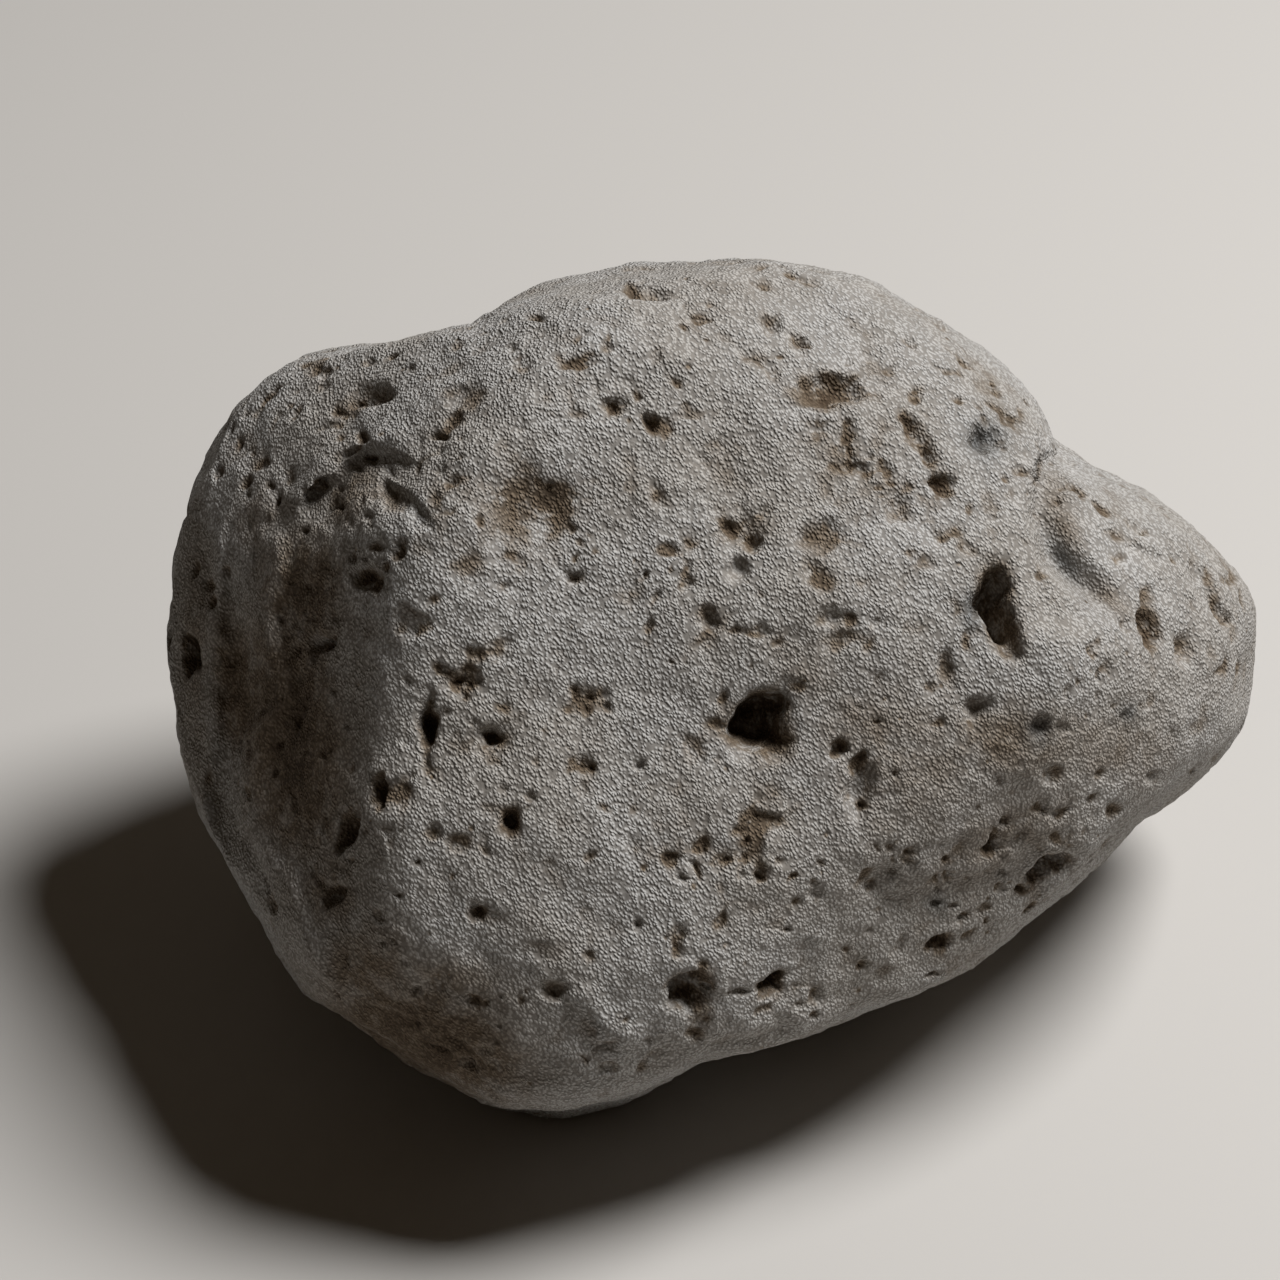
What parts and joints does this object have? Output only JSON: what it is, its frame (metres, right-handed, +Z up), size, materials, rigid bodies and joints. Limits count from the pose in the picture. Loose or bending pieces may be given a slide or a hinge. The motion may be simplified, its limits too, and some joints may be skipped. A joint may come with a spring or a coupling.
{
  "type": "pumice stone",
  "caption": "Hand-sized pumice stone, a blunt body with a tapering nose, pitted with gas holes, resting on one worn flat.",
  "frame": {"origin": "middle of the stone's box at the level of the flat that it rests on", "axes": "+Z up from the flat, +X towards the tapering nose along the stone's length, +Y away from the pitted face"},
  "size_m": [0.093, 0.0712, 0.063],
  "materials": {
    "pumice": "dry, matt, fine pebbled grain, pale warm grey with brown dirt in the hollows"
  },
  "bodies": {
    "root": {"pumice": "pumice"}
  },
  "joints": []
}
